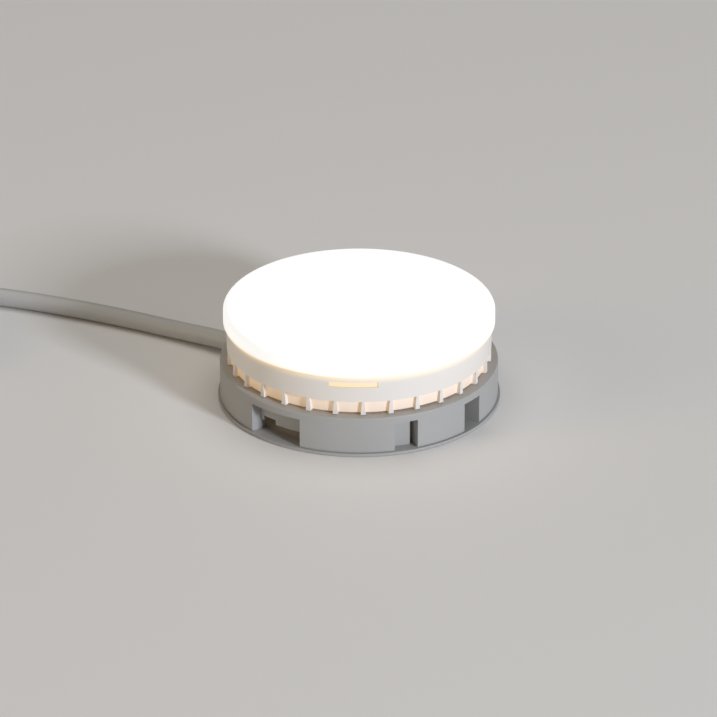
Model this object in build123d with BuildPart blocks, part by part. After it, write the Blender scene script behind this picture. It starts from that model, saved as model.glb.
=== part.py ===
from build123d import *
from math import atan2, cos, degrees, hypot, pi, radians, sin, tan
import os

# Twist-lock LED disc lamp, locked in its low round holder, with the holder's mains lead.
# Millimetres, +Z up. The origin is the centre of the holder's underside, on the table.
# Azimuths are degrees from the front (-Y), growing towards the right (+X) seen from above.

os.makedirs("parts", exist_ok=True)

# Standard lamp diameter, 75 mm across the opal cover. The housing and the holder follow it.
cover_radius = 37.5

# Holder: the low round moulding that stands on the table
holder_margin = 1.0
holder_radius = cover_radius + holder_margin
holder_height = 11.4
base_thickness = 1.0
base_margin = 0.6
holder_wall = 1.6
plate_thickness = 2.0
well_radius = 20.25
well_wall = 1.25
rim_edge = 0.35
foot_edge = 0.3
recess_depth = 3.0
recess_radius = holder_radius - recess_depth
foot_groove = 0.3

# Holder: a window, a niche and a gap in the wall, repeated half a turn round, as azimuths
window_start = -49.3
window_end = -24.75
window_cut_height = 3.0
notch_start = -47.3
notch_end = -39.8
notch_height = 1.4
niche_start = 14.6
niche_end = 24.5
slot_start = 22.9
gap_start = 48.4
gap_end = 58.7

# Twist lock: two mushroom pins in two keyholes
pin_circle = 26.5
pin_shank = 1.6
pin_head = 2.5
pin_head_height = 2.1
twist = 20.0
contact_azimuth = -72.0
key_hole = 3.2
key_slot = 1.8
pin_play = 0.3

# Sprung contacts and their terminals
strip_thickness = 0.4
strip_width = 5.0
strip_tip_run = 1.5
strip_tip_drop = 1.2
contact_gap = 0.2
contact_reach = 7.4
terminal_side = 6.0
terminal_height = 6.0
terminal_edge = 0.4
terminal_offset = 11.2
wire_bore = 1.3
wire_bore_height = 2.2
terminal_thread = 1.25
terminal_head = 2.1
terminal_head_height = 1.2
cradle_wall = 1.0
cradle_depth = 5.2
cradle_length = 6.0
fit_gap = 0.1

# Screws that hold the base plate, and the holes for fixing the holder to a ceiling
cover_screw_azimuths = (-43.0, 68.0, 172.0)
cover_screw_circle = 25.5
cover_boss = 2.4
cover_thread = 1.2
cover_head = 2.2
cover_screw_length = 7.0
thread_gap = 0.05
fixing_spacing = 28.0
fixing_hole = 2.1

# Mains lead, its clamp and its plug
cable_radius = 2.6
cable_azimuth = -125.5
cable_entry_height = 3.8
cable_inner_end = 27.0
cable_straight = 6.5
cable_gap = 0.3
table_gap = 0.05
core_radius = 0.95
core_shift = 1.2
core_overrun = 5.3
core_stop = 0.3
core_ring_inset = 4.3
clamp_circle = 31.2
clamp_spread = 7.4
clamp_post = 2.0
clamp_post_top = 6.6
clamp_width = 4.4
clamp_thickness = 1.3
clamp_overhang = 2.1
clamp_thread = 1.0
clamp_head = 1.8
clamp_head_height = 1.1
coil_inner_line = 19.2
coil_outer_line = 37.8
coil_height = 10.5
plug_width = 35.3
plug_thickness = 13.7
plug_length = 36.0
plug_cheek = 12.0
plug_rear_width = 13.0
relief_length = 22.0
relief_root = 5.0
relief_tip = 3.4
plug_corner = 3.0
plug_edge = 2.6
plug_cable_depth = 8.0
plug_pin = 2.0
plug_pin_core = 1.5
plug_sleeve = 1.8
plug_pin_root = 6.0
plug_pin_tip = 1.0
plug_pin_spacing = 19.0
plug_pin_length = 19.0
plug_sleeve_length = 10.0

# Lamp housing: ribbed ring below, smooth band above
seat_gap = 0.2
lamp_wall = 1.5
rib_height = 3.9
rib_stand = 0.3
rib_count = 30
rib_foot_width = 1.4
rib_top_width = 0.7
rib_inset = 0.05
rib_depth = 2.0
first_rib_azimuth = 1.8
band_step = 0.9
band_radius = cover_radius - band_step
band_height = 7.4
panel_top_step = 1.0
panel_foot_step = 1.2
ledge_height = 1.5
ledge_width = 1.2
snap_count = 3
snap_azimuth = -2.4
snap_width = 13.4
snap_height = 1.5
snap_lift = 4.3

# Opal cover
cover_height = 5.0
cover_wall = 1.4
cover_crown = 0.4
cover_edge = 1.5
cover_gap = 0.1
skirt_wall = 1.2
skirt_depth = 3.5
catch_step = 0.3

# Cap with the round boss that fills the holder's well
well_play = 0.5
boss_radius = well_radius - well_play
boss_depth = 8.8
boss_edge = 1.0
cap_wall = 1.3
flange_margin = 3.0
flange_radius = pin_circle + flange_margin
board_ledge = 3.5
board_ledge_width = 1.2
pin_edge = 0.8
rivet_height = 0.8
stake_radius = 1.3
stake_inset = 3.25
stake_circle = boss_radius + stake_inset
stake_head = 2.0
stake_azimuths = (-32.0, 38.0, 148.0)

# Light source on its heat spreader
spreader_thickness = 1.2
spreader_rim = 1.0
spreader_rim_height = 1.1
led_board_thickness = 1.0
led_length = 3.5
led_width = 2.8
led_height = 0.7
led_ring_radii = (7.0, 17.0, 27.0)
led_ring_counts = (4, 8, 12)
board_screw_inset = 5.0
board_screw_circle = band_radius - board_screw_inset
board_screw_count = 3
board_screw_azimuth = 20.0
board_post = 1.9
board_thread = 0.9
board_head = 1.8
board_head_height = 1.1
board_screw_length = 5.0
board_screw_depth = 3.3
wire_slot_radius = 12.5
wire_slot_length = 6.0
wire_slot_width = 2.4
wire_tail = 2.6
wire_azimuth = 65.0
wire_spread = 1.6
wire_radius = 0.6
pin_wire_inset = 2.0

# Driver board and what stands on it
driver_play = 0.55
driver_radius = boss_radius - cap_wall - driver_play
driver_thickness = 1.2
can_radius = 3.8
can_length = 11.5
can_groove = 1.0
can_place = (-3.5, 8.6)
package_edge = 0.4
film_size = (10.0, 4.6, 7.6)
film_place = (4.5, -10.5)
drum_radius = 4.0
drum_core = 3.1
drum_height = 7.0
drum_flange = 1.1
drum_place = (-8.5, -5.0)
bridge_size = (4.7, 3.9, 1.9)
bridge_place = (11.0, 0.2)
chip_size = (4.9, 3.9, 1.5)
chip_place = (1.5, -1.0)
fuse_radius = 1.6
fuse_length = 7.0
fuse_place = (-13.5, 3.0)

# Heights that follow from the sizes above
plate_under = holder_height - plate_thickness
window_top = base_thickness + window_cut_height
rib_foot = holder_height + seat_gap
floor_under = rib_foot + rib_stand
floor_top = floor_under + lamp_wall
band_foot = rib_foot + rib_height
band_top = band_foot + band_height
band_inner = band_radius - lamp_wall
spreader_seat = band_foot + ledge_height
led_board_foot = spreader_seat + spreader_thickness
led_board_top = led_board_foot + led_board_thickness
cover_foot = band_top + cover_gap
cover_top = cover_foot + cover_height
head_top = plate_under - pin_play
head_foot = head_top - pin_head_height
flange_top = floor_top + lamp_wall
boss_foot = holder_height - boss_depth
driver_foot = boss_foot + cap_wall + board_ledge
driver_top = driver_foot + driver_thickness
strip_top = head_foot - contact_gap
terminal_top = plate_under - 2 * strip_thickness
terminal_foot = terminal_top - terminal_height
locked_azimuth = contact_azimuth - twist / 2
key_azimuth = contact_azimuth + twist / 2


def polar(azimuth):
    """The build's polar angle, from +X, of an azimuth counted from the front."""
    return azimuth - 90


def at(radius, azimuth, height=0.0):
    """The point at a radius, an azimuth and a height."""
    angle = radians(polar(azimuth))
    return (radius * cos(angle), radius * sin(angle), height)


def beside(radius, azimuth, shift, height):
    """The point at a radius and an azimuth, moved sideways by a shift."""
    out = at(radius, azimuth)
    along = at(shift, azimuth + 90)
    return (out[0] + along[0], out[1] + along[1], height)


def ring_sector(inner, outer, start, end):
    """The plane face between two radii and two azimuths."""
    with BuildSketch() as sector:
        with BuildLine():
            CenterArc((0, 0), outer, polar(start), end - start)
            Line(at(outer, end)[:2], at(inner, end)[:2])
            CenterArc((0, 0), inner, polar(end), start - end)
            Line(at(inner, start)[:2], at(outer, start)[:2])
        make_face()
    return sector.sketch


def side_plane(radius, azimuth):
    """A standing plane across a radius: its x runs round the part, its y up, its normal outwards."""
    return Plane(origin=at(radius, azimuth), x_dir=at(1, azimuth + 90), z_dir=at(1, azimuth))


def level_plane(radius, azimuth, height):
    """A level plane at a radius: its x runs round the part and its y inwards."""
    return Plane(origin=at(radius, azimuth, height), x_dir=at(1, azimuth + 90), z_dir=(0, 0, 1))


def bend_radii(route):
    """One radius for each corner of a route, as large as the runs beside it allow."""
    radii = []
    for before, corner, after in zip(route, route[1:], route[2:]):
        arriving = Vector(*corner) - Vector(*before)
        leaving = Vector(*after) - Vector(*corner)
        half_turn = radians(arriving.get_angle(leaving)) / 2
        radii.append(0.45 * min(arriving.length, leaving.length) / tan(half_turn))
    return radii


def tube(route, radius):
    """A round solid along straight runs that tangent arcs join."""
    radii = bend_radii(route)
    with BuildPart() as piece:
        with BuildLine() as path:
            FilletPolyline(*route, radius=radii)
        with BuildSketch(Plane(origin=path.line @ 0, z_dir=path.line % 0)):
            Circle(radius)
        sweep()
    length = sum(edge.length for edge in path.edges())
    share = piece.part.volume / (pi * radius**2 * length)
    print(f"tube: length {length:.1f}, radii {[round(r, 1) for r in radii]}, volume share {share:.4f}")
    return piece


half_turns = (0, 180)
recesses = ((window_start, window_end), (niche_start, niche_end), (gap_start, gap_end))

# Holder body: a thin castellated wall under a full round plate. The wall steps inwards at each
# recess and keeps its thickness, so its inside is the same outline offset by the wall.
with BuildPart() as holder:
    with BuildSketch(Plane.XY.offset(base_thickness)):
        Circle(holder_radius)
        for half in half_turns:
            for start, end in recesses:
                cut = ring_sector(recess_radius, holder_radius + 1, start + half, end + half)
                add(cut, mode=Mode.SUBTRACT)
        offset(amount=-holder_wall, kind=Kind.INTERSECTION, mode=Mode.SUBTRACT)
    extrude(amount=plate_under - base_thickness)
    with BuildSketch(Plane.XY.offset(plate_under)):
        Circle(holder_radius)
    extrude(amount=plate_thickness)

    # A shallow groove round the foot parts the wall from the base plate.
    with BuildSketch(Plane.XY.offset(base_thickness)):
        Circle(holder_radius + 1)
        Circle(holder_radius - foot_groove, mode=Mode.SUBTRACT)
    extrude(amount=foot_groove, mode=Mode.SUBTRACT)

    # The well's collar and the bosses for the base screws hang from the plate.
    with BuildSketch(Plane.XY.offset(base_thickness)):
        Circle(well_radius + well_wall)
        for azimuth in cover_screw_azimuths:
            with Locations(at(cover_screw_circle, azimuth)[:2]):
                Circle(cover_boss)
    extrude(amount=plate_under - base_thickness)
    with BuildSketch(Plane.XY.offset(base_thickness)):
        Circle(well_radius)
    extrude(amount=holder_height, mode=Mode.SUBTRACT)
    with BuildSketch(Plane.XY.offset(base_thickness)):
        for azimuth in cover_screw_azimuths:
            with Locations(at(cover_screw_circle, azimuth)[:2]):
                Circle(cover_thread + thread_gap)
    extrude(amount=cover_screw_length, mode=Mode.SUBTRACT)

    # Cradles grip the terminal blocks on both sides.
    for half, side in zip(half_turns, (-1, 1)):
        plane = level_plane(pin_circle, contact_azimuth + half, plate_under - cradle_depth)
        with BuildSketch(plane):
            reach = terminal_side / 2 + fit_gap + cradle_wall / 2
            with Locations((side * terminal_offset, reach), (side * terminal_offset, -reach)):
                Rectangle(cradle_length, cradle_wall)
        extrude(amount=cradle_depth)

    # Keyholes: a round hole that lets a pin head in, and a slot that holds its shank.
    with BuildSketch(Plane.XY.offset(plate_under)):
        for half in half_turns:
            with Locations(at(pin_circle, key_azimuth + half)[:2]):
                Circle(key_hole)
            with Locations(at(pin_circle, locked_azimuth + half)[:2]):
                Circle(key_slot)
            add(ring_sector(pin_circle - key_slot, pin_circle + key_slot,
                            locked_azimuth + half, key_azimuth + half))
    extrude(amount=plate_thickness, mode=Mode.SUBTRACT)

    # Window: the inner wall stops short of the base plate, with a notch beside its left jamb.
    # The niche has a narrow slot beside its right jamb, and the gap is open over its full width.
    back = (recess_radius - 2 * holder_wall, recess_radius + fit_gap)
    for half in half_turns:
        for start, end, foot, rise in (
            (window_start, window_end, base_thickness, window_cut_height),
            (notch_start, notch_end, window_top, notch_height),
            (slot_start, niche_end, base_thickness, plate_under - base_thickness),
            (gap_start, gap_end, base_thickness, plate_under - base_thickness),
        ):
            with BuildSketch(Plane.XY.offset(foot)):
                add(ring_sector(*back, start + half, end + half))
            extrude(amount=rise, mode=Mode.SUBTRACT)

    # Channel that lets the mains lead in, open at the foot so that the body drops over the lead.
    with BuildSketch(side_plane(recess_radius - 2 * holder_wall, cable_azimuth)):
        with Locations((0, cable_entry_height)):
            Circle(cable_radius + cable_gap)
        with Locations((0, cable_entry_height / 2)):
            Rectangle(2 * (cable_radius + cable_gap), cable_entry_height)
    extrude(amount=holder_radius, mode=Mode.SUBTRACT)

    rim = holder.faces().sort_by(Axis.Z)[-1].outer_wire().edges()
    fillet(rim, radius=rim_edge)
holder.part.label = "holder_body"
export_step(holder.part, "parts/holder_body.step")

# Base plate: closes the holder underneath, carries the two posts of the cable clamp, and is
# screwed to a ceiling or a box through the two holes in the well.
clamp_azimuth_step = degrees(atan2(clamp_spread, clamp_circle))
clamp_post_circle = hypot(clamp_spread, clamp_circle)
clamp_azimuths = (cable_azimuth - clamp_azimuth_step, cable_azimuth + clamp_azimuth_step)
with BuildPart() as base:
    with BuildSketch():
        Circle(holder_radius + base_margin)
    extrude(amount=base_thickness)
    with BuildSketch(Plane.XY.offset(base_thickness)):
        for azimuth in clamp_azimuths:
            with Locations(at(clamp_post_circle, azimuth)[:2]):
                Circle(clamp_post)
    extrude(amount=clamp_post_top - base_thickness)
    with BuildSketch(Plane.XY.offset(base_thickness)):
        for azimuth in clamp_azimuths:
            with Locations(at(clamp_post_circle, azimuth)[:2]):
                Circle(clamp_thread + thread_gap)
    extrude(amount=clamp_post_top, mode=Mode.SUBTRACT)
    with BuildSketch():
        with Locations((fixing_spacing / 2, 0), (-fixing_spacing / 2, 0)):
            Circle(fixing_hole)
    extrude(amount=base_thickness, mode=Mode.SUBTRACT)
    for azimuth in cover_screw_azimuths:
        with BuildSketch(Plane.XY):
            with Locations(at(cover_screw_circle, azimuth)[:2]):
                Circle(cover_head + thread_gap)
        with BuildSketch(Plane.XY.offset(base_thickness)):
            with Locations(at(cover_screw_circle, azimuth)[:2]):
                Circle(cover_thread + thread_gap)
        loft(mode=Mode.SUBTRACT)
    outline = base.faces().sort_by(Axis.Z)[0].outer_wire().edges()
    chamfer(outline, length=foot_edge)
base.part.label = "base_plate"
export_step(base.part, "parts/base_plate.step")

# Countersunk screws that hold the base plate to the holder body, as one group.
with BuildPart() as cover_screws:
    for azimuth in cover_screw_azimuths:
        with BuildSketch(Plane.XY):
            with Locations(at(cover_screw_circle, azimuth)[:2]):
                Circle(cover_head)
        with BuildSketch(Plane.XY.offset(base_thickness)):
            with Locations(at(cover_screw_circle, azimuth)[:2]):
                Circle(cover_thread)
        loft()
        with BuildSketch(Plane.XY.offset(base_thickness)):
            with Locations(at(cover_screw_circle, azimuth)[:2]):
                Circle(cover_thread)
        extrude(amount=cover_screw_length - thread_gap)
        with BuildSketch(Plane.XY):
            with Locations(at(cover_screw_circle, azimuth)[:2]):
                Rectangle(2 * cover_head, cover_thread / 2)
        extrude(amount=base_thickness / 2, mode=Mode.SUBTRACT)
cover_screws.part.label = "cover_screws"
export_step(cover_screws.part, "parts/cover_screws.step")

# Each contact is a bent spring strip: its tail lies on the terminal block, a riser drops from
# there, and the leaf runs under the path of the pin head and dips at its tip.
# The two sets mirror each other, so both terminals face the mains lead.
for half, side, name in zip(half_turns, (-1, 1), ("left", "right")):
    riser = side * (contact_reach + strip_thickness / 2)
    tail_end = side * (terminal_offset + terminal_side / 2)
    leaf = strip_top - strip_thickness / 2
    tail = terminal_top + strip_thickness / 2
    with BuildPart() as strip:
        with BuildSketch(side_plane(pin_circle, contact_azimuth + half)):
            with BuildLine():
                FilletPolyline((tail_end, tail), (riser, tail), (riser, leaf), (-riser, leaf),
                               (-riser - side * strip_tip_run, leaf - strip_tip_drop),
                               radius=strip_thickness)
                offset(amount=strip_thickness / 2, side=Side.BOTH, kind=Kind.ARC, mode=Mode.REPLACE)
            make_face()
        extrude(amount=strip_width / 2, both=True)
    strip.part.label = f"contact_spring_{name}"
    export_step(strip.part, f"parts/contact_spring_{name}.step")

    with BuildPart() as terminal:
        with BuildSketch(level_plane(pin_circle, contact_azimuth + half, terminal_foot)):
            with Locations((side * terminal_offset, 0)):
                Rectangle(terminal_side, terminal_side)
        extrude(amount=terminal_height)
        chamfer(terminal.edges().filter_by(Axis.Z), length=terminal_edge)
        with BuildSketch(level_plane(pin_circle, contact_azimuth + half, terminal_foot)):
            with Locations((side * terminal_offset, 0)):
                Circle(terminal_thread)
        extrude(amount=wire_bore_height, mode=Mode.SUBTRACT)
        bore_plane = Plane(
            origin=at(pin_circle, contact_azimuth + half, terminal_foot + wire_bore_height),
            x_dir=at(1, contact_azimuth + half),
            z_dir=at(side, contact_azimuth + half + 90),
        )
        with BuildSketch(bore_plane):
            Circle(wire_bore)
        extrude(amount=terminal_offset + terminal_side, mode=Mode.SUBTRACT)
    terminal.part.label = f"terminal_block_{name}"
    export_step(terminal.part, f"parts/terminal_block_{name}.step")

# Terminal screws press the cores down from underneath.
screw_reach = wire_bore_height - core_radius - thread_gap
with BuildPart() as terminal_screws:
    for half, side in zip(half_turns, (-1, 1)):
        azimuth = contact_azimuth + half
        with BuildSketch(level_plane(pin_circle, azimuth, terminal_foot)):
            with Locations((side * terminal_offset, 0)):
                Circle(terminal_thread - thread_gap)
        extrude(amount=screw_reach)
        with BuildSketch(level_plane(pin_circle, azimuth, terminal_foot)):
            with Locations((side * terminal_offset, 0)):
                Circle(terminal_head)
        extrude(amount=-terminal_head_height)
        with BuildSketch(level_plane(pin_circle, azimuth, terminal_foot - terminal_head_height)):
            with Locations((side * terminal_offset, 0)):
                Rectangle(2 * terminal_head, terminal_thread / 2)
        extrude(amount=terminal_head_height / 2, mode=Mode.SUBTRACT)
terminal_screws.part.label = "terminal_screws"
export_step(terminal_screws.part, "parts/terminal_screws.step")

# Cable clamp: a moulded bar across the lead, on the two posts of the base plate.
with BuildPart() as clamp:
    with BuildSketch(level_plane(clamp_circle, cable_azimuth, clamp_post_top)):
        SlotOverall(2 * (clamp_spread + clamp_overhang), clamp_width)
        with Locations((clamp_spread, 0), (-clamp_spread, 0)):
            Circle(clamp_thread + fit_gap, mode=Mode.SUBTRACT)
    extrude(amount=clamp_thickness)
clamp.part.label = "cable_clamp"
export_step(clamp.part, "parts/cable_clamp.step")

clamp_top = clamp_post_top + clamp_thickness
with BuildPart() as clamp_screws:
    with BuildSketch(level_plane(clamp_circle, cable_azimuth, base_thickness + clamp_head_height)):
        with Locations((clamp_spread, 0), (-clamp_spread, 0)):
            Circle(clamp_thread)
    extrude(amount=clamp_top - base_thickness - clamp_head_height)
    with BuildSketch(level_plane(clamp_circle, cable_azimuth, clamp_top)):
        with Locations((clamp_spread, 0), (-clamp_spread, 0)):
            Circle(clamp_head)
    extrude(amount=clamp_head_height)
    with BuildSketch(level_plane(clamp_circle, cable_azimuth, clamp_top + clamp_head_height)):
        with Locations((clamp_spread, 0), (-clamp_spread, 0)):
            Rectangle(2 * clamp_head, clamp_thread / 2)
    extrude(amount=-clamp_head_height / 2, mode=Mode.SUBTRACT)
clamp_screws.part.label = "clamp_screws"
export_step(clamp_screws.part, "parts/clamp_screws.step")

# Lead: two cores run on from the sheath's inner end to the terminals, as radius, azimuth and height.
core_height = terminal_foot + wire_bore_height
core_turn = terminal_offset + core_overrun
core_end = terminal_offset - core_stop
core_ring = recess_radius - core_ring_inset
live_route = [
    beside(cable_inner_end, cable_azimuth, core_shift, cable_entry_height),
    beside(24.2, cable_azimuth, core_shift, cable_entry_height),
    beside(18.6, contact_azimuth, -core_turn - 0.2, core_height),
    beside(pin_circle, contact_azimuth, -core_turn, core_height),
    beside(pin_circle, contact_azimuth, -core_end, core_height),
]
neutral_route = [
    beside(cable_inner_end, cable_azimuth, -core_shift, cable_entry_height),
    beside(24.4, cable_azimuth, -core_shift, cable_entry_height),
    at(25.2, cable_azimuth - 16.5, core_height),
    at(28.6, cable_azimuth - 27.0, core_height),
    at(core_ring - 0.6, cable_azimuth - 40.0, core_height),
    at(core_ring, cable_azimuth - 56.0, core_height),
    at(core_ring - 0.2, cable_azimuth - 72.0, core_height),
    at(core_ring - 0.2, cable_azimuth - 88.0, core_height),
    beside(pin_circle, contact_azimuth + 180, core_turn, core_height),
    beside(pin_circle, contact_azimuth + 180, core_end, core_height),
]
live_core = tube(live_route, core_radius)
live_core.part.label = "core_live"
export_step(live_core.part, "parts/core_live.step")
neutral_core = tube(neutral_route, core_radius)
neutral_core.part.label = "core_neutral"
export_step(neutral_core.part, "parts/core_neutral.step")

# The sheathed lead leaves the holder, comes down to the table and runs to the left in a long bend.
lie = cable_radius + table_gap
coil_entry = (-149.2, 66.2)
lead_route = [
    at(cable_inner_end, cable_azimuth, cable_entry_height),
    at(holder_radius + cable_straight, cable_azimuth, cable_entry_height),
    (-51.0, 35.2, lie),
    (-66.0, 43.1, lie),
    (-82.0, 50.2, lie),
    (-98.5, 56.3, lie),
    (-115.0, 60.8, lie),
    (-132.0, 64.5, lie),
    (*coil_entry, lie),
]
lead = tube(lead_route, cable_radius)
lead.part.label = "cable_lead"
export_step(lead.part, "parts/cable_lead.step")

# Put-away length: a flat coil of two layers that lies on the table, as one closed ring.
coil_centre = (coil_entry[0], coil_entry[1] - coil_outer_line)
with BuildPart() as coil:
    with BuildSketch(Plane.XY):
        with Locations(coil_centre):
            Circle(coil_outer_line + cable_radius)
            Circle(coil_inner_line - cable_radius, mode=Mode.SUBTRACT)
    extrude(amount=coil_height)
    fillet(coil.edges().filter_by(GeomType.CIRCLE), radius=cable_radius)
coil.part.label = "cable_coil"
export_step(coil.part, "parts/cable_coil.step")

# The tail comes off the top layer, slides down the side of the coil and goes into the plug.
plug_axis_height = plug_thickness / 2
plug_start = (-192.4, 18.3)
plug_heading = (0.06, -1.0)
tail_last_run = 7.5
top_layer = lie + 2 * cable_radius
tail_route = [
    (-162.1, 63.9, top_layer),
    (-169.0, 61.4, top_layer),
    (-180.4, 52.4, top_layer),
    (-188.8, 40.4, 7.4),
    (plug_start[0] - tail_last_run * plug_heading[0], plug_start[1] + tail_last_run, plug_axis_height),
    (plug_start[0] + tail_last_run * plug_heading[0], plug_start[1] - tail_last_run, plug_axis_height),
]
tail_piece = tube(tail_route, cable_radius)
tail_piece.part.label = "cable_tail"
export_step(tail_piece.part, "parts/cable_tail.step")

# Flat two-pin plug: a moulded body, wide at its face and drawn in towards the lead, with a
# tapered strain relief and a sleeve on the root of each pin.
plug_side = (plug_heading[1], -plug_heading[0], 0)
plug_face = relief_length + plug_length
plug_flat = Plane(origin=(*plug_start, 0), x_dir=plug_side, z_dir=(0, 0, 1))
plug_axis = Plane(origin=(*plug_start, plug_axis_height), x_dir=plug_side, z_dir=(*plug_heading, 0))
with BuildPart() as plug:
    with BuildSketch(plug_flat):
        with BuildLine():
            Polyline(
                (-plug_rear_width / 2, relief_length),
                (-plug_width / 2, plug_face - plug_cheek),
                (-plug_width / 2, plug_face),
                (plug_width / 2, plug_face),
                (plug_width / 2, plug_face - plug_cheek),
                (plug_rear_width / 2, relief_length),
                close=True,
            )
        make_face()
    extrude(amount=plug_thickness)
    fillet(plug.edges().filter_by(Axis.Z), radius=plug_corner)
    fillet(plug.faces().sort_by(Axis.Z)[-1].edges(), radius=plug_edge)
    fillet(plug.faces().sort_by(Axis.Z)[0].edges(), radius=plug_edge)
    with BuildSketch(plug_axis):
        Circle(relief_tip)
    with BuildSketch(plug_axis.offset(relief_length + plug_edge)):
        Circle(relief_root)
    loft()
    with BuildSketch(plug_axis.offset(plug_face)):
        with Locations((plug_pin_spacing / 2, 0), (-plug_pin_spacing / 2, 0)):
            Circle(plug_sleeve)
    extrude(amount=plug_sleeve_length)
    with BuildSketch(plug_axis.offset(plug_face - plug_pin_root)):
        with Locations((plug_pin_spacing / 2, 0), (-plug_pin_spacing / 2, 0)):
            Circle(plug_pin_core)
    extrude(amount=plug_pin_root + plug_sleeve_length, mode=Mode.SUBTRACT)
    with BuildSketch(plug_axis):
        Circle(cable_radius)
    extrude(amount=plug_cable_depth, mode=Mode.SUBTRACT)
plug.part.label = "plug_body"
export_step(plug.part, "parts/plug_body.step")

# Plug pins: a core inside the sleeve, and a full-size rounded end.
with BuildPart() as plug_pins:
    with BuildSketch(plug_axis.offset(plug_face - plug_pin_root)):
        with Locations((plug_pin_spacing / 2, 0), (-plug_pin_spacing / 2, 0)):
            Circle(plug_pin_core)
    extrude(amount=plug_pin_root + plug_sleeve_length)
    with BuildSketch(plug_axis.offset(plug_face + plug_sleeve_length)):
        with Locations((plug_pin_spacing / 2, 0), (-plug_pin_spacing / 2, 0)):
            Circle(plug_pin)
    extrude(amount=plug_pin_length - plug_sleeve_length)
    tip_faces = plug_pins.faces().sort_by(Axis(plug_axis.origin, plug_axis.z_dir))[-2:]
    fillet(tip_faces.edges(), radius=plug_pin_tip)
plug_pins.part.label = "plug_pins"
export_step(plug_pins.part, "parts/plug_pins.step")

# One rib of the lamp's lower ring: wider at its foot, its face just inside the band's.
with BuildPart() as rib:
    for height, width in ((rib_foot, rib_foot_width), (band_foot, rib_top_width)):
        with BuildSketch(Plane.XY.offset(height)):
            with Locations((band_radius - rib_inset - rib_depth / 2, 0)):
                Rectangle(rib_depth, width)
    loft()

# Lamp housing: one revolved shell with a ribbed ring below and a smooth band above. Its floor
# has a hole for the cap's boss and two for the pins, its band three slots for the cover's snaps.
with BuildPart() as housing:
    with BuildSketch(Plane.XZ):
        with BuildLine():
            Polyline(
                (boss_radius + fit_gap, floor_under),
                (band_radius - panel_foot_step, floor_under),
                (band_radius - panel_top_step, band_foot),
                (band_radius, band_foot),
                (band_radius, band_top),
                (band_inner, band_top),
                (band_inner, spreader_seat),
                (band_inner - ledge_width, spreader_seat),
                (band_inner - ledge_width, floor_top),
                (boss_radius + fit_gap, floor_top),
                close=True,
            )
        make_face()
    revolve(axis=Axis.Z)
    with PolarLocations(0, rib_count, start_angle=polar(first_rib_azimuth)):
        add(rib.part)

    # Posts for the screws of the light source, and stakes that hold the cap's flange down.
    with BuildSketch(Plane.XY.offset(floor_top)):
        with PolarLocations(board_screw_circle, board_screw_count, start_angle=polar(board_screw_azimuth)):
            Circle(board_post)
    extrude(amount=spreader_seat - floor_top)
    with BuildSketch(Plane.XY.offset(floor_top)):
        for azimuth in stake_azimuths:
            with Locations(at(stake_circle, azimuth)[:2]):
                Circle(stake_radius)
    extrude(amount=lamp_wall)
    with BuildSketch(Plane.XY.offset(flange_top)):
        for azimuth in stake_azimuths:
            with Locations(at(stake_circle, azimuth)[:2]):
                Circle(stake_head)
    extrude(amount=rivet_height)
    with BuildSketch(Plane.XY.offset(spreader_seat - board_screw_depth)):
        with PolarLocations(board_screw_circle, board_screw_count, start_angle=polar(board_screw_azimuth)):
            Circle(board_thread + thread_gap)
    extrude(amount=board_screw_depth, mode=Mode.SUBTRACT)
    with BuildSketch(Plane.XY.offset(floor_under)):
        with PolarLocations(pin_circle, 2, start_angle=polar(locked_azimuth)):
            Circle(pin_shank + pin_play)
    extrude(amount=lamp_wall, mode=Mode.SUBTRACT)
    half_snap = degrees(snap_width / 2 / band_radius)
    snap_turns = [snap_azimuth + 360 / snap_count * k for k in range(snap_count)]
    with BuildSketch(Plane.XY.offset(band_foot + snap_lift)):
        for azimuth in snap_turns:
            add(ring_sector(band_inner - fit_gap, band_radius + fit_gap,
                            azimuth - half_snap, azimuth + half_snap))
    extrude(amount=snap_height, mode=Mode.SUBTRACT)
housing.part.label = "lamp_housing"
export_step(housing.part, "parts/lamp_housing.step")

# Opal cover: a shallow crowned dish with a skirt that drops inside the band. Three snaps on the
# skirt click into the band's slots.
skirt_radius = band_inner - cover_gap
skirt_foot = cover_foot - skirt_depth
with BuildPart() as cover:
    with BuildSketch(Plane.XZ):
        with BuildLine():
            Line((0, cover_top), (0, cover_top - cover_wall))
            ThreePointArc(
                (0, cover_top - cover_wall),
                (cover_radius / 2, cover_top - cover_wall - cover_crown / 4),
                (cover_radius - cover_wall, cover_top - cover_wall - cover_crown),
            )
            Polyline(
                (cover_radius - cover_wall, cover_top - cover_wall - cover_crown),
                (cover_radius - cover_wall, cover_foot + cover_wall),
                (skirt_radius - skirt_wall, cover_foot + cover_wall),
                (skirt_radius - skirt_wall, skirt_foot),
                (skirt_radius, skirt_foot),
                (skirt_radius, cover_foot),
                (cover_radius, cover_foot),
                (cover_radius, cover_top - cover_crown),
            )
            ThreePointArc(
                (cover_radius, cover_top - cover_crown),
                (cover_radius / 2, cover_top - cover_crown / 4),
                (0, cover_top),
            )
        make_face()
    revolve(axis=Axis.Z)
    shoulder = cover.edges().group_by(SortBy.LENGTH)[-1].sort_by(Axis.Z)[-1]
    fillet(shoulder, radius=cover_edge)
    half_catch = half_snap - degrees(cover_gap / band_radius)
    with BuildSketch(Plane.XY.offset(band_foot + snap_lift + cover_gap)):
        for azimuth in snap_turns:
            add(ring_sector(skirt_radius - skirt_wall / 2, band_radius - catch_step,
                            azimuth - half_catch, azimuth + half_catch))
    extrude(amount=snap_height - 2 * cover_gap)
cover.part.label = "diffuser"
export_step(cover.part, "parts/diffuser.step")

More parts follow.
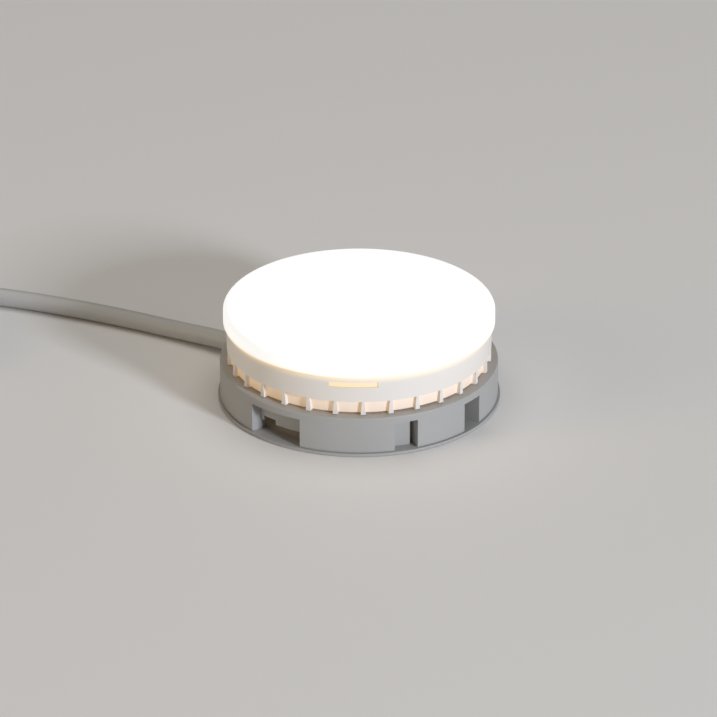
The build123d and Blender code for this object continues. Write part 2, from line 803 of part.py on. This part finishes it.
# Cap: a round boss with a closed foot under a flange. The flange lies on the housing's floor,
# carries the pins and is held by the staked posts. Ledges inside the boss seat the driver board.
with BuildPart() as cap:
    with BuildSketch(Plane.XZ):
        with BuildLine():
            Polyline(
                (0, boss_foot),
                (boss_radius - boss_edge, boss_foot),
                (boss_radius, boss_foot + boss_edge),
                (boss_radius, floor_top),
                (flange_radius, floor_top),
                (flange_radius, flange_top),
                (boss_radius - cap_wall, flange_top),
                (boss_radius - cap_wall, boss_foot + cap_wall),
                (0, boss_foot + cap_wall),
                close=True,
            )
        make_face()
    revolve(axis=Axis.Z)
    with BuildSketch(Plane.XY.offset(boss_foot + cap_wall)):
        Circle(boss_radius - cap_wall)
        Circle(driver_radius - board_ledge_width, mode=Mode.SUBTRACT)
    extrude(amount=board_ledge)
    with BuildSketch(Plane.XY.offset(floor_top)):
        with PolarLocations(pin_circle, 2, start_angle=polar(locked_azimuth)):
            Circle(pin_shank + thread_gap)
        for azimuth in stake_azimuths:
            with Locations(at(stake_circle, azimuth)[:2]):
                Circle(stake_radius + fit_gap)
    extrude(amount=lamp_wall, mode=Mode.SUBTRACT)
cap.part.label = "cap_base"
export_step(cap.part, "parts/cap_base.step")

# Mushroom pins: a wide rounded head below the floor, a shank through it, and a riveted end.
with BuildPart() as pins:
    for height, radius, rise in (
        (head_foot, pin_head, pin_head_height),
        (head_top, pin_shank, flange_top - head_top),
        (flange_top, pin_head, rivet_height),
    ):
        with BuildSketch(Plane.XY.offset(height)):
            with PolarLocations(pin_circle, 2, start_angle=polar(locked_azimuth)):
                Circle(radius)
        extrude(amount=rise)
    fillet(pins.edges().filter_by(GeomType.CIRCLE).group_by(Axis.Z)[0], radius=pin_edge)
pins.part.label = "contact_pins"
export_step(pins.part, "parts/contact_pins.step")

# Heat spreader: a pressed aluminium dish that rests on the housing's ledge and posts.
with BuildPart() as spreader:
    with BuildSketch(Plane.XY.offset(spreader_seat)):
        Circle(band_inner - cover_gap)
    extrude(amount=spreader_thickness + spreader_rim_height)
    with BuildSketch(Plane.XY.offset(led_board_foot)):
        Circle(band_inner - cover_gap - spreader_rim)
    extrude(amount=spreader_rim_height, mode=Mode.SUBTRACT)
    with BuildSketch(Plane.XY.offset(spreader_seat)):
        with PolarLocations(board_screw_circle, board_screw_count, start_angle=polar(board_screw_azimuth)):
            Circle(board_thread + fit_gap)
        with Locations(at(wire_slot_radius, wire_azimuth)[:2]):
            SlotOverall(wire_slot_length, wire_slot_width, rotation=polar(wire_azimuth) + 90)
    extrude(amount=spreader_thickness, mode=Mode.SUBTRACT)
spreader.part.label = "heat_spreader"
export_step(spreader.part, "parts/heat_spreader.step")

with BuildPart() as led_board:
    with BuildSketch(Plane.XY.offset(led_board_foot)):
        Circle(band_inner - cover_gap - spreader_rim - fit_gap)
        with PolarLocations(board_screw_circle, board_screw_count, start_angle=polar(board_screw_azimuth)):
            Circle(board_thread + fit_gap, mode=Mode.SUBTRACT)
        with Locations(at(wire_slot_radius, wire_azimuth)[:2]):
            SlotOverall(wire_slot_length, wire_slot_width, rotation=polar(wire_azimuth) + 90,
                        mode=Mode.SUBTRACT)
    extrude(amount=led_board_thickness)
led_board.part.label = "led_board"
export_step(led_board.part, "parts/led_board.step")

with BuildPart() as led_chips:
    with BuildSketch(Plane.XY.offset(led_board_top)):
        for radius, count in zip(led_ring_radii, led_ring_counts):
            with PolarLocations(radius, count, start_angle=180 / count):
                Rectangle(led_width, led_length)
    extrude(amount=led_height)
led_chips.part.label = "led_chips"
export_step(led_chips.part, "parts/led_chips.step")

with BuildPart() as board_screws:
    with BuildSketch(Plane.XY.offset(led_board_top - board_screw_length)):
        with PolarLocations(board_screw_circle, board_screw_count, start_angle=polar(board_screw_azimuth)):
            Circle(board_thread)
    extrude(amount=board_screw_length)
    with BuildSketch(Plane.XY.offset(led_board_top)):
        with PolarLocations(board_screw_circle, board_screw_count, start_angle=polar(board_screw_azimuth)):
            Circle(board_head)
    extrude(amount=board_head_height)
    with BuildSketch(Plane.XY.offset(led_board_top + board_head_height)):
        with PolarLocations(board_screw_circle, board_screw_count, start_angle=polar(board_screw_azimuth)):
            Rectangle(2 * board_head, board_thread / 2)
    extrude(amount=-board_head_height / 2, mode=Mode.SUBTRACT)
board_screws.part.label = "board_screws"
export_step(board_screws.part, "parts/board_screws.step")

# Driver: a round board on the cap's ledge, with its tall parts standing in the boss.
with BuildPart() as driver:
    with BuildSketch(Plane.XY.offset(driver_foot)):
        Circle(driver_radius)
    extrude(amount=driver_thickness)
driver.part.label = "driver_board"
export_step(driver.part, "parts/driver_board.step")

can_axis = driver_top + can_radius + thread_gap
with BuildPart() as can:
    with BuildSketch(Plane.XY.offset(can_axis)):
        with BuildLine():
            left, front = can_place[0] - can_length / 2, can_place[1]
            Polyline(
                (left, front),
                (left, front + can_radius),
                (left + can_groove, front + can_radius),
                (left + 1.5 * can_groove, front + can_radius - can_groove / 3),
                (left + 2 * can_groove, front + can_radius),
                (left + can_length, front + can_radius),
                (left + can_length, front),
                close=True,
            )
        make_face()
    revolve(axis=Axis((0, can_place[1], can_axis), (1, 0, 0)))
can.part.label = "bulk_capacitor"
export_step(can.part, "parts/bulk_capacitor.step")

for (width, depth, rise), place, name in (
    (film_size, film_place, "film_capacitor"),
    (bridge_size, bridge_place, "bridge_rectifier"),
    (chip_size, chip_place, "driver_chip"),
):
    with BuildPart() as package:
        with BuildSketch(Plane.XY.offset(driver_top)):
            with Locations(place):
                RectangleRounded(width, depth, package_edge)
        extrude(amount=rise)
        fillet(package.faces().sort_by(Axis.Z)[-1].edges(), radius=package_edge)
    package.part.label = name
    export_step(package.part, f"parts/{name}.step")

with BuildPart() as drum:
    for height, radius, rise in (
        (driver_top, drum_radius, drum_flange),
        (driver_top + drum_flange, drum_core, drum_height - 2 * drum_flange),
        (driver_top + drum_height - drum_flange, drum_radius, drum_flange),
    ):
        with BuildSketch(Plane.XY.offset(height)):
            with Locations(drum_place):
                Circle(radius)
        extrude(amount=rise)
drum.part.label = "inductor"
export_step(drum.part, "parts/inductor.step")

fuse_axis = driver_top + fuse_radius + thread_gap
with BuildPart() as fuse:
    with BuildSketch(Plane(origin=(*fuse_place, fuse_axis), z_dir=(0, 1, 0))):
        Circle(fuse_radius)
    extrude(amount=fuse_length / 2, both=True)
    fillet(fuse.edges().filter_by(GeomType.CIRCLE), radius=package_edge)
fuse.part.label = "fuse_resistor"
export_step(fuse.part, "parts/fuse_resistor.step")

# Wires: one from each pin's rivet down to the driver, and a pair from the driver up to the LEDs.
rivet_top = flange_top + rivet_height + wire_radius
pin_wire_turn = driver_radius - pin_wire_inset
with BuildPart() as pin_wires:
    for azimuth in (locked_azimuth, locked_azimuth + 180):
        with BuildLine() as run:
            FilletPolyline(
                at(pin_circle, azimuth, rivet_top),
                at(pin_wire_turn, azimuth, rivet_top),
                at(pin_wire_turn, azimuth, driver_top),
                radius=2 * wire_radius,
            )
        with BuildSketch(Plane(origin=run.line @ 0, z_dir=run.line % 0)):
            Circle(wire_radius)
        sweep()
pin_wires.part.label = "pin_wires"
export_step(pin_wires.part, "parts/pin_wires.step")

led_wire_top = led_board_top + wire_radius + thread_gap
with BuildPart() as led_wires:
    for side in (-1, 1):
        azimuth = wire_azimuth + degrees(side * wire_spread / wire_slot_radius)
        with BuildLine() as run:
            FilletPolyline(
                at(wire_slot_radius, azimuth, driver_top),
                at(wire_slot_radius, azimuth, led_wire_top),
                at(wire_slot_radius + wire_tail, azimuth, led_wire_top),
                radius=2 * wire_radius,
            )
        with BuildSketch(Plane(origin=run.line @ 0, z_dir=run.line % 0)):
            Circle(wire_radius)
        sweep()
led_wires.part.label = "led_wires"
export_step(led_wires.part, "parts/led_wires.step")
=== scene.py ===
from math import cos, radians, sin

import bmesh
import bpy
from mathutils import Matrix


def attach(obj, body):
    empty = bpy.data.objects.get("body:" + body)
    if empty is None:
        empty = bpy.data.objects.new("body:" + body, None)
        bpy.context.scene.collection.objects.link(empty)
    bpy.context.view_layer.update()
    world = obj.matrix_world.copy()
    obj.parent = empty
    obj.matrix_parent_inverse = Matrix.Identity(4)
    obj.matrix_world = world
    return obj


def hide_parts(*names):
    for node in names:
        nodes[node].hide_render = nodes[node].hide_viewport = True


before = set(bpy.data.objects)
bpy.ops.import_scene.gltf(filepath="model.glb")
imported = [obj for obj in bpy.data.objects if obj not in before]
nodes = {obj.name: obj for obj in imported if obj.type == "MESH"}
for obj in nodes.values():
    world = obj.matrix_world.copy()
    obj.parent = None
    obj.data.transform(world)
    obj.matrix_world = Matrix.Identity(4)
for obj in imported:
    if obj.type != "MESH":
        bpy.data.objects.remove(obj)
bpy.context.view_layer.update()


# Holder: one white ABS injection moulding, screwed to its base plate, with the clamp bar of the
# same plastic. The mould was spark-eroded, so the surface is a fine satin, a little duller and
# greyer than the lamp.
def linear(code):
    """A linear colour from an sRGB hex code such as "E4E1DA"."""
    parts = [int(code[k:k + 2], 16) / 255 for k in (0, 2, 4)]
    return (*(p / 12.92 if p <= 0.04045 else ((p + 0.055) / 1.055) ** 2.4 for p in parts), 1.0)


def new_node(tree, kind, inputs=(), **settings):
    """Adds a shader node, sets it up, and fills or links its inputs."""
    made = tree.nodes.new(kind)
    for name, value in settings.items():
        setattr(made, name, value)
    for socket, value in dict(inputs).items():
        if isinstance(value, bpy.types.NodeSocket):
            tree.links.new(value, made.inputs[socket])
        else:
            made.inputs[socket].default_value = value
    return made


def surface(name, colour, metallic=0.0):
    """A material with one Principled shader, ready for its own detail."""
    made = bpy.data.materials.new(name)
    made.use_nodes = True
    shader = made.node_tree.nodes["Principled BSDF"]
    shader.inputs["Base Color"].default_value = linear(colour)
    shader.inputs["Metallic"].default_value = metallic
    return made, made.node_tree, shader


def mottle(tree, shader, second, scale):
    """Lets the colour drift softly to a second, close tone. The scale counts clouds in a metre."""
    colour = shader.inputs["Base Color"]
    place = new_node(tree, "ShaderNodeTexCoord")
    cloud = new_node(tree, "ShaderNodeTexNoise", {
        "Vector": place.outputs["Object"], "Scale": scale, "Detail": 3.0})
    mix = new_node(tree, "ShaderNodeMix", {
        0: cloud.outputs["Fac"], 6: tuple(colour.default_value), 7: linear(second)},
        data_type="RGBA")
    tree.links.new(mix.outputs[2], colour)


def grain(tree, shader, scale, depth, low, high):
    """Gives the surface a fine grain, in its roughness from low to high and as a shallow bump.
    The scale counts grains in a metre."""
    place = new_node(tree, "ShaderNodeTexCoord")
    speck = new_node(tree, "ShaderNodeTexNoise", {
        "Vector": place.outputs["Object"], "Scale": scale, "Detail": 4.0})
    spread = new_node(tree, "ShaderNodeMapRange", {
        "Value": speck.outputs["Fac"], "To Min": low, "To Max": high})
    bump = new_node(tree, "ShaderNodeBump", {
        "Height": speck.outputs["Fac"], "Distance": depth, "Strength": 0.6})
    tree.links.new(spread.outputs["Result"], shader.inputs["Roughness"])
    tree.links.new(bump.outputs["Normal"], shader.inputs["Normal"])


def reach_and_height(tree):
    """The distance from the lamp's axis and the height above the table, as sockets."""
    place = new_node(tree, "ShaderNodeTexCoord")
    axes = new_node(tree, "ShaderNodeSeparateXYZ", {"Vector": place.outputs["Object"]})
    flat = new_node(tree, "ShaderNodeCombineXYZ", {
        "X": axes.outputs["X"], "Y": axes.outputs["Y"]})
    reach = new_node(tree, "ShaderNodeVectorMath", {0: flat.outputs["Vector"]}, operation="LENGTH")
    return reach.outputs["Value"], axes.outputs["Z"]


def dress(material, *names):
    """Puts a material on carried-over CAD nodes."""
    for name in names:
        nodes[name].data.materials.clear()
        nodes[name].data.materials.append(material)


# The clouds are about 20 mm wide, and the grain about 0.4 mm, coarser than the real one so that
# it shows.
moulded, moulded_tree, moulded_shader = surface("injection_moulded_white_abs", "AAA9A6")
mottle(moulded_tree, moulded_shader, "A2A19D", scale=45)
grain(moulded_tree, moulded_shader, scale=2600, depth=0.00003, low=0.44, high=0.58)

# Painted glow: the plastic inside the holder's inner wall gives off a little warm light, which
# stands in for the lamp's light that gets down into it. None of it is on the underside.
painted_glow_edge = 0.0334
painted_glow_full = 0.0322
painted_glow_foot = 0.0005
painted_glow_strength = 0.032
moulded_reach, moulded_height = reach_and_height(moulded_tree)
moulded_inside = new_node(moulded_tree, "ShaderNodeMapRange", {
    "Value": moulded_reach, "From Min": painted_glow_edge, "From Max": painted_glow_full,
    "To Min": 0.0, "To Max": painted_glow_strength})
moulded_above = new_node(moulded_tree, "ShaderNodeMath", {
    0: moulded_height, 1: painted_glow_foot}, operation="GREATER_THAN")
moulded_painted_glow = new_node(moulded_tree, "ShaderNodeMath", {
    0: moulded_inside.outputs["Result"], 1: moulded_above.outputs["Value"]},
    operation="MULTIPLY")
# The painted glow's warm colour, set as the holder's emission.
moulded_shader.inputs["Emission Color"].default_value = linear("FFE0B0")
moulded_tree.links.new(moulded_painted_glow.outputs["Value"], moulded_shader.inputs["Emission Strength"])
dress(moulded, "holder_body", "base_plate", "cable_clamp")

# Metal pieces in the holder: bronze strip springs, sawn brass terminals, zinc-plated steel screws.
# The strip keeps the mill's shine, the bar its saw marks and the zinc a fine crystal. All of it
# is drawn about a millimetre coarse, so that it shows.
for name, colour, rough, scale, wanted in (
    ("rolled_phosphor_bronze", "C08A52", 0.3, 900,
     ("contact_spring_left", "contact_spring_right")),
    ("sawn_brass_bar", "C9A558", 0.32, 800,
     ("terminal_block_left", "terminal_block_right")),
    ("zinc_plated_steel", "B4B6B8", 0.32, 1200,
     ("terminal_screws", "cover_screws", "clamp_screws", "board_screws")),
):
    metal, metal_tree, metal_shader = surface(name, colour, metallic=1.0)
    grain(metal_tree, metal_shader, scale, depth=0.00001, low=rough - 0.05, high=rough + 0.1)
    dress(metal, *wanted)

# Cores of the lead and the lamp's own wires: copper in coloured PVC, drawn smooth through a die.
# The screws of the terminals press the cores, and the thin wires are soldered at both ends.
for name, colour, wanted in (
    ("brown_wire_insulation", "6B4630", "core_live"),
    ("blue_wire_insulation", "3E66B0", "core_neutral"),
    ("white_wire_insulation", "DEDDD8", "pin_wires"),
    ("red_wire_insulation", "B32A22", "led_wires"),
):
    core, core_tree, core_shader = surface(name, colour)
    grain(core_tree, core_shader, scale=900, depth=0.00001, low=0.32, high=0.46)
    dress(core, wanted)

# Mains lead: a round two-core PVC lead, 5.2 mm thick. It leaves the holder at the rear left, bends
# away over the table, is wound up out of the picture in two layers, and ends in the plug.
lead_thickness = 0.0052
lead_curve = bpy.data.curves.new("mains_lead", "CURVE")
lead_curve.dimensions = "3D"
lead_curve.bevel_depth = lead_thickness / 2
lead_curve.bevel_resolution = 8
lead_curve.resolution_u = 8
lead_route = [
    (-0.02198, 0.01568, 0.0038), (-0.03664, 0.02613, 0.0038), (-0.051, 0.0352, 0.00265),
    (-0.066, 0.0431, 0.00265), (-0.082, 0.0502, 0.00265), (-0.0985, 0.0563, 0.00265),
    (-0.115, 0.0608, 0.00265), (-0.132, 0.0645, 0.0029),
]

# Seven turns and 20 degrees, 18 points a turn: inwards, then outwards on top. The coil lies half a
# millimetre up, on its tie, and climbs to its upper layer within four points.
coil_x, coil_y, coil_z = -0.1492, 0.0284, 0.00315
coil_points = 128
coil_start = 90
degrees_a_point = 20
outer_turn = 0.03838
step_inwards = 0.0003
climb_start = 61.5
climb_points = 4
for step in range(coil_points):
    reach = outer_turn - step_inwards * min(step, coil_points - 1 - step)
    rise = lead_thickness * min(max((step - climb_start) / climb_points, 0), 1)
    angle = radians(coil_start + degrees_a_point * step)
    lead_route.append((coil_x + reach * cos(angle), coil_y + reach * sin(angle), coil_z + rise))
lead_route += [
    (-0.169, 0.0614, 0.00835), (-0.1804, 0.0524, 0.0082), (-0.1888, 0.0404, 0.0074),
    (-0.19285, 0.0258, 0.00685), (-0.19195, 0.0108, 0.00685),
]
lead_line = lead_curve.splines.new("NURBS")
lead_line.points.add(len(lead_route) - 1)
for control, (x, y, z) in zip(lead_line.points, lead_route):
    control.co = (x, y, z, 1)
lead_line.order_u = 3
lead_line.use_endpoint_u = True
lead = bpy.data.objects.new("mains_lead", lead_curve)
bpy.context.scene.collection.objects.link(lead)

# Extruded PVC is smooth, with a low wax-like shine. Its faint pores are drawn about 1 mm wide.
pvc, pvc_tree, pvc_shader = surface("extruded_white_pvc", "BDBCB9")
mottle(pvc_tree, pvc_shader, "B3B2AE", scale=30)
grain(pvc_tree, pvc_shader, scale=900, depth=0.00004, low=0.36, high=0.5)
lead.data.materials.append(pvc)
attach(lead, "holder")
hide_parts("cable_lead", "cable_coil", "cable_tail")

# Plug: a flat two-pin plug, moulded round the lead's end in the same PVC, so the two are one. Its
# mould has a coarser grain, about 0.7 mm wide here, so that it is easy to grip.
grip, grip_tree, grip_shader = surface("overmoulded_white_pvc", "BDBCB9")
mottle(grip_tree, grip_shader, "B3B2AE", scale=40)
grain(grip_tree, grip_shader, scale=1400, depth=0.00006, low=0.42, high=0.6)
dress(grip, "plug_body")


# Twist tie: a flat white PVC tape, 3 mm wide, with an iron wire in it. It goes once round the turns
# of the coil, and its two ends are twisted together and laid down on top.
def select_lengthwise(piece):
    """Selects the edges that run along X, which is the tape's width and the twist's length."""
    bpy.ops.mesh.select_mode(type="EDGE")
    bpy.ops.mesh.select_all(action="DESELECT")
    for edge in bmesh.from_edit_mesh(piece.data).edges:
        edge.select_set(abs(edge.verts[0].co.x - edge.verts[1].co.x) > 0.002)


tape_width = 0.003
tape_thickness = 0.0005
tie_middle = (-0.1492, 0.00085, 0.0058)
tie_span = 0.0219
tie_height = 0.0105
tie_corner = 0.0024
bpy.ops.object.select_all(action="DESELECT")
bpy.ops.mesh.primitive_cube_add(size=1, location=tie_middle)
tie = bpy.context.object
tie.name = "twist_tie"
tie.scale = (tape_width, tie_span, tie_height)
bpy.ops.object.transform_apply(location=True, rotation=True, scale=True)
bpy.ops.object.mode_set(mode="EDIT")
bpy.ops.mesh.select_mode(type="FACE")
bpy.ops.mesh.select_all(action="DESELECT")
for face in bmesh.from_edit_mesh(tie.data).faces:
    face.select_set(abs(face.normal.x) > 0.9)
bpy.ops.mesh.delete(type="ONLY_FACE")
select_lengthwise(tie)
bpy.ops.mesh.bevel(offset=tie_corner, segments=8)
bpy.ops.object.mode_set(mode="OBJECT")
bpy.ops.object.modifier_add(type="SOLIDIFY")
tie.modifiers["Solidify"].thickness = tape_thickness
tie.modifiers["Solidify"].offset = 1.0
bpy.ops.object.modifier_apply(modifier="Solidify")

# Its twisted ends: two thicknesses of the tape, turned one and a half times.
twist_length = 0.013
twist_middle = (-0.1427, 0.0011, 0.0127)
bpy.ops.object.select_all(action="DESELECT")
bpy.ops.mesh.primitive_cube_add(size=1)
ends = bpy.context.object
ends.scale = (twist_length, tape_width, 2 * tape_thickness)
bpy.ops.object.transform_apply(location=True, rotation=True, scale=True)
bpy.ops.object.mode_set(mode="EDIT")
select_lengthwise(ends)
bpy.ops.mesh.subdivide(number_cuts=40)
bpy.ops.object.mode_set(mode="OBJECT")
bpy.ops.object.modifier_add(type="SIMPLE_DEFORM")
ends.modifiers["SimpleDeform"].deform_method = "TWIST"
ends.modifiers["SimpleDeform"].deform_axis = "X"
ends.modifiers["SimpleDeform"].angle = radians(1.5 * 360)
bpy.ops.object.modifier_apply(modifier="SimpleDeform")
ends.location = twist_middle
bpy.ops.object.transform_apply(location=True, rotation=True, scale=True)
tie.select_set(True)
bpy.context.view_layer.objects.active = tie
bpy.ops.object.join()
bpy.ops.object.mode_set(mode="EDIT")
bpy.ops.mesh.select_all(action="SELECT")
bpy.ops.mesh.normals_make_consistent(inside=False)
bpy.ops.object.mode_set(mode="OBJECT")
bpy.ops.object.shade_smooth_by_angle(angle=radians(35))

# The tape was rolled between hot cylinders, which left it nearly smooth.
tape, tape_tree, tape_shader = surface("calendered_white_pvc_tape", "D2D1CD")
mottle(tape_tree, tape_shader, "CAC9C5", scale=60)
grain(tape_tree, tape_shader, scale=1400, depth=0.00003, low=0.34, high=0.5)
tie.data.materials.append(tape)
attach(tie, "holder")

# Pins of the plug and of the lamp: turned brass with a bright nickel plate. The plug's are moulded
# in, and the lamp's are staked in its cap. Fine turning marks stay under the plate.
nickel, nickel_tree, nickel_shader = surface(
    "nickel_plated_turned_brass", "CFC9BB", metallic=1.0)
grain(nickel_tree, nickel_shader, scale=700, depth=0.00001, low=0.19, high=0.34)
dress(nickel, "plug_pins", "contact_pins")

# Lamp housing: thin white polycarbonate, moulded, that lets a little of the lamp's light through.
# The walls between the ribs glow most, warm, and so does the band close under the cover.
shell, shell_tree, shell_shader = surface("thin_walled_white_polycarbonate", "E1DCD5")
mottle(shell_tree, shell_shader, "DBD6CE", scale=45)
grain(shell_tree, shell_shader, scale=2600, depth=0.00003, low=0.36, high=0.5)

# The panels are all that lies behind the ribs' faces and below the band.
rib_face = 0.0358
panel_face = 0.03566
band_foot = 0.0156
panel_top = 0.0154
fringe_foot = 0.0206
fringe_top = 0.0229
shell_reach, shell_height = reach_and_height(shell_tree)
shell_inside = new_node(shell_tree, "ShaderNodeMapRange", {
    "Value": shell_reach, "From Min": rib_face, "From Max": panel_face,
    "To Min": 0.0, "To Max": 1.0})
shell_below = new_node(shell_tree, "ShaderNodeMapRange", {
    "Value": shell_height, "From Min": band_foot, "From Max": panel_top,
    "To Min": 0.0, "To Max": 1.0})
shell_panel = new_node(shell_tree, "ShaderNodeMath", {
    0: shell_inside.outputs["Result"], 1: shell_below.outputs["Result"]}, operation="MULTIPLY")
shell_fringe = new_node(shell_tree, "ShaderNodeMapRange", {
    "Value": shell_height, "From Min": fringe_foot, "From Max": fringe_top,
    "To Min": 0.0, "To Max": 1.0}, interpolation_type="SMOOTHSTEP")
shell_foot = new_node(shell_tree, "ShaderNodeMix", {
    0: shell_panel.outputs["Value"], 6: linear("4A4640"), 7: linear("8C693B")},
    data_type="RGBA")
shell_glow = new_node(shell_tree, "ShaderNodeMix", {
    0: shell_fringe.outputs["Result"], 6: shell_foot.outputs[2], 7: linear("9A7F50")},
    data_type="RGBA")
shell_tree.links.new(shell_glow.outputs[2], shell_shader.inputs["Emission Color"])
shell_shader.inputs["Emission Strength"].default_value = 1.0
dress(shell, "lamp_housing")

# Cap: a thick-walled PBT moulding under the housing, with the boss that fills the holder's well.
# PBT stands the driver's heat. No light comes through it.
cap, cap_tree, cap_shader = surface("moulded_white_pbt", "DFDBD3")
mottle(cap_tree, cap_shader, "D9D5CC", scale=45)
grain(cap_tree, cap_shader, scale=2600, depth=0.00003, low=0.38, high=0.5)
dress(cap, "cap_base")

# Driver board in the cap's boss: glass fibre under a green mask, with the parts soldered to it.
# Each part has the colour and the finish that such parts have, from film to lacquer.
for name, colour, rough, scale, wanted in (
    ("green_masked_fibreglass", "2F6A45", 0.4, 500, ("driver_board",)),
    ("black_shrink_film", "22252C", 0.3, 700, ("bulk_capacitor", "inductor")),
    ("dipped_red_epoxy", "9A3A22", 0.28, 500, ("film_capacitor",)),
    ("moulded_black_epoxy", "232323", 0.5, 1500, ("bridge_rectifier", "driver_chip")),
    ("green_resistor_lacquer", "6E9C7C", 0.35, 700, ("fuse_resistor",)),
):
    piece, piece_tree, piece_shader = surface(name, colour)
    grain(piece_tree, piece_shader, scale, depth=0.00001, low=rough - 0.05, high=rough + 0.12)
    dress(piece, *wanted)

# Heat spreader: a dish pressed from bright aluminium sheet, under the light source. The sheet has
# a faint cloudiness from rolling, with patches of 1 to 2 mm.
spreader, spreader_tree, spreader_shader = surface(
    "pressed_aluminium_sheet", "C6C7C9", metallic=1.0)
grain(spreader_tree, spreader_shader, scale=600, depth=0.00001, low=0.29, high=0.44)
dress(spreader, "heat_spreader")

# Light source: a white-masked metal-core board, screwed to the spreader, with packages of yellow
# phosphor in silicone. They are lit.
mask, mask_tree, mask_shader = surface("white_solder_mask", "E8E8E4")
grain(mask_tree, mask_shader, scale=1500, depth=0.00001, low=0.3, high=0.42)
dress(mask, "led_board")
phosphor, phosphor_tree, phosphor_shader = surface("lit_yellow_phosphor_silicone", "F0D060")
grain(phosphor_tree, phosphor_shader, scale=1500, depth=0.00001, low=0.26, high=0.38)
phosphor_shader.inputs["Emission Color"].default_value = linear("FFE9B8")
phosphor_shader.inputs["Emission Strength"].default_value = 1.0
dress(phosphor, "led_chips")

# Cover: an opal polycarbonate diffuser, moulded and snapped on, that the light source fills evenly.
# Its face glows white and falls off at the rim. Its foot and the catches in the band's slots glow
# warm.
opal, opal_tree, opal_shader = surface("lit_opal_polycarbonate", "B0AFAC")
grain(opal_tree, opal_shader, scale=2600, depth=0.00002, low=0.3, high=0.42)
fall_start = 0.0345
fall_end = 0.0376
face_strength = 0.8
rim_strength = 0.74
catch_top = 0.0225
lip_foot = 0.023
lip_top = 0.0237
opal_reach, opal_height = reach_and_height(opal_tree)
opal_fall = new_node(opal_tree, "ShaderNodeMapRange", {
    "Value": opal_reach, "From Min": fall_start, "From Max": fall_end,
    "To Min": face_strength, "To Max": rim_strength}, interpolation_type="SMOOTHSTEP")
opal_lip = new_node(opal_tree, "ShaderNodeMapRange", {
    "Value": opal_height, "From Min": lip_foot, "From Max": lip_top,
    "To Min": 0.0, "To Max": 1.0})
opal_above = new_node(opal_tree, "ShaderNodeMath", {
    0: opal_height, 1: catch_top}, operation="GREATER_THAN")
opal_white = new_node(opal_tree, "ShaderNodeMix", {
    0: opal_lip.outputs["Result"], 6: linear("FFE2AE"), 7: linear("FFFEFC")},
    data_type="RGBA")
opal_glow = new_node(opal_tree, "ShaderNodeMix", {
    0: opal_above.outputs["Value"], 6: linear("F2C682"), 7: opal_white.outputs[2]},
    data_type="RGBA")
opal_tree.links.new(opal_glow.outputs[2], opal_shader.inputs["Emission Color"])
opal_tree.links.new(opal_fall.outputs["Result"], opal_shader.inputs["Emission Strength"])
dress(opal, "diffuser")

# Table: a plain pale floor, dull enough to show soft shadows and no reflection. It is only the
# stage, and isn't part of the object.
bpy.ops.object.select_all(action="DESELECT")
bpy.ops.mesh.primitive_plane_add(size=8)
floor = bpy.context.object
floor.name = "floor"
table, _, table_shader = surface("plain_pale_table", "E4E2DE")
table_shader.inputs["Roughness"].default_value = 0.7
floor.data.materials.append(table)

# Light: a low cool lamp from the front right, a warm one from the left, a weak one above, and a
# pale room. Each row has the lamp's place, width, watts, colour and turn in degrees.
for name, place, width, watts, colour, turn in (
    ("key_light", (1.40, -1.555, 0.68), 0.3, 38.0, "EEF3FF", (72, 0, 42)),
    ("fill_light", (-1.75, -0.64, 0.75), 1.0, 7.5, "FFE6C2", (68, 0, -70)),
    ("top_light", (0.0, 0.3, 2.2), 2.0, 17.0, "FFFCF8", (0, 0, 0)),
):
    lamp = bpy.data.objects.new(name, bpy.data.lights.new(name, "AREA"))
    bpy.context.scene.collection.objects.link(lamp)
    lamp.data.size = width
    lamp.data.energy = watts
    lamp.data.color = linear(colour)[:3]
    lamp.location = place
    lamp.rotation_euler = [radians(part) for part in turn]
world = bpy.data.worlds.new("pale_room")
bpy.context.scene.world = world
world.use_nodes = True
room = world.node_tree.nodes["Background"]
room.inputs["Color"].default_value = linear("E4E5E8")
room.inputs["Strength"].default_value = 0.17

# Camera: the photograph's own view, from the front and 25.88 degrees above the table, from 1.5 m
# away with a long lens.
camera_elevation = 25.88
view = bpy.data.objects.new("camera", bpy.data.cameras.new("camera"))
bpy.context.scene.collection.objects.link(view)
view.location = (-0.00016, -1.3453, 0.66354)
view.rotation_euler = (radians(90 - camera_elevation), 0, 0)
view.data.lens = 271.3
view.data.sensor_width = 36.0
view.data.clip_start = 0.1
view.data.clip_end = 20
bpy.context.scene.camera = view

bpy.context.scene.view_settings.view_transform = "Standard"
